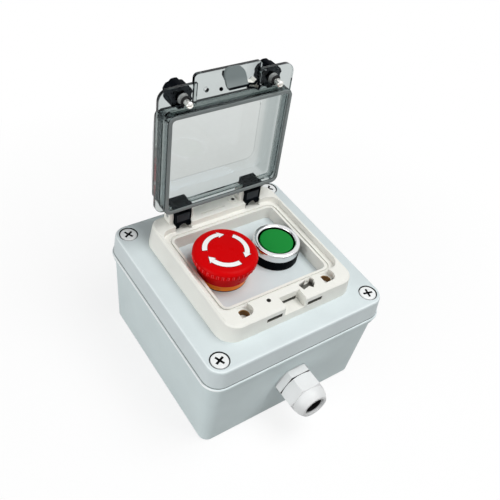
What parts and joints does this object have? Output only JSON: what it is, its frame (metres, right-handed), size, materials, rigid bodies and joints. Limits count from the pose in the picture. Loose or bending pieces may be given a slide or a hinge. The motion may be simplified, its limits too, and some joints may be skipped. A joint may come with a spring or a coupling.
{
  "type": "pushbutton switch box",
  "caption": "Grey wall-mounted switch box with a twist-release emergency stop and a start button behind a hinged smoked window cover, and a cable gland at the front",
  "frame": {"origin": "middle of the flat back of the enclosure base, which is fastened to a wall or stands on a bench", "axes": "+Z out of the back towards the buttons, -Y towards the cable gland and the cover's latch, +X to the right with the gland in front"},
  "size_m": [0.125, 0.1464, 0.1871],
  "materials": {
    "grey_abs": "fine textured light grey moulding",
    "white_plastic": "smooth satin warm white moulding",
    "gland_white": "smooth satin white moulding",
    "smoked_clear": "polished smoked transparent plastic",
    "black_plastic": "satin black moulding",
    "grey_plastic": "satin mid grey moulding",
    "red_plastic": "semi gloss red moulding",
    "orange_plastic": "semi gloss orange moulding",
    "green_plastic": "semi gloss green moulding",
    "chrome": "bright chromed metal",
    "nickel": "nickel plated metal",
    "steel": "bright zinc plated steel",
    "brass": "turned brass",
    "screw_grey": "light grey nylon",
    "black_rubber": "soft black seal",
    "grey_rubber": "soft dark grey seal"
  },
  "bodies": {
    "enclosure": {"enclosure_base": "grey_abs", "enclosure_lid": "grey_abs", "lid_gasket": "black_rubber", "lid_screws": "screw_grey", "window_frame": "white_plastic", "frame_gasket": "black_rubber", "frame_screws": "steel", "frame_inserts": "brass", "hinge_pins": "steel", "estop_collar": "orange_plastic", "estop_barrel": "black_plastic", "estop_gasket": "black_rubber", "estop_nut": "black_plastic", "estop_contact_block": "grey_plastic", "estop_terminal_screws": "steel", "start_collar": "black_plastic", "start_bezel": "chrome", "start_barrel": "black_plastic", "start_gasket": "black_rubber", "start_nut": "black_plastic", "start_contact_block": "grey_plastic", "start_terminal_screws": "steel", "gland_body": "gland_white", "gland_locknut": "gland_white", "gland_washer": "grey_rubber", "gland_seal": "grey_rubber"},
    "gland_nut": {"gland_nut": "gland_white"},
    "cover": {"cover_shell": "smoked_clear", "cover_seal": "grey_rubber", "hinge_arm_left": "black_plastic", "hinge_arm_right": "black_plastic", "screw_sleeves": "grey_plastic", "stud_rings": "black_rubber", "cover_latch": "grey_plastic", "lock_sleeve": "black_plastic"},
    "thumb_screw_left": {"thumb_knob_left": "black_plastic", "thumb_stud_left": "nickel"},
    "thumb_screw_right": {"thumb_knob_right": "black_plastic", "thumb_stud_right": "nickel"},
    "estop_plunger": {"estop_stem": "black_plastic", "estop_spring": "steel"},
    "estop_head": {"estop_head": "red_plastic"},
    "start_button": {"start_cap": "green_plastic", "start_plunger": "black_plastic", "start_spring": "steel"}
  },
  "joints": [
    {"name": "cover_hinge", "type": "hinge", "parent": "enclosure", "child": "cover", "pos_m": [0, 0.0419, 0.0935], "axis": [1, 0, 0], "range_deg": [0, 92.5]},
    {"name": "thumb_left_turn", "type": "hinge", "parent": "cover", "child": "thumb_screw_left", "pos_m": [-0.0292, 0.0394, 0.17378], "axis": [0, 0.999, -0.0436], "continuous": true},
    {"name": "thumb_right_turn", "type": "hinge", "parent": "cover", "child": "thumb_screw_right", "pos_m": [0.0292, 0.0394, 0.17378], "axis": [0, 0.999, -0.0436], "continuous": true},
    {"name": "estop_press", "type": "slide", "parent": "enclosure", "child": "estop_plunger", "axis": [0, 0, -1], "range_m": [0, 0.0035], "stiffness_N_per_m": 1500, "springref_m": -0.003, "deforming": ["estop_spring"]},
    {"name": "estop_twist", "type": "hinge", "parent": "estop_plunger", "child": "estop_head", "pos_m": [-0.0184, 0, 0.0905], "axis": [0, 0, 1], "range_deg": [-45, 0], "stiffness_Nm_per_rad": 0.05},
    {"name": "start_press", "type": "slide", "parent": "enclosure", "child": "start_button", "axis": [0, 0, -1], "range_m": [0, 0.004], "stiffness_N_per_m": 800, "springref_m": -0.002, "deforming": ["start_spring"]},
    {"name": "gland_nut_turn", "type": "hinge", "parent": "enclosure", "child": "gland_nut", "pos_m": [0, -0.07315, 0.0318], "axis": [0, -1, 0], "continuous": true}
  ]
}
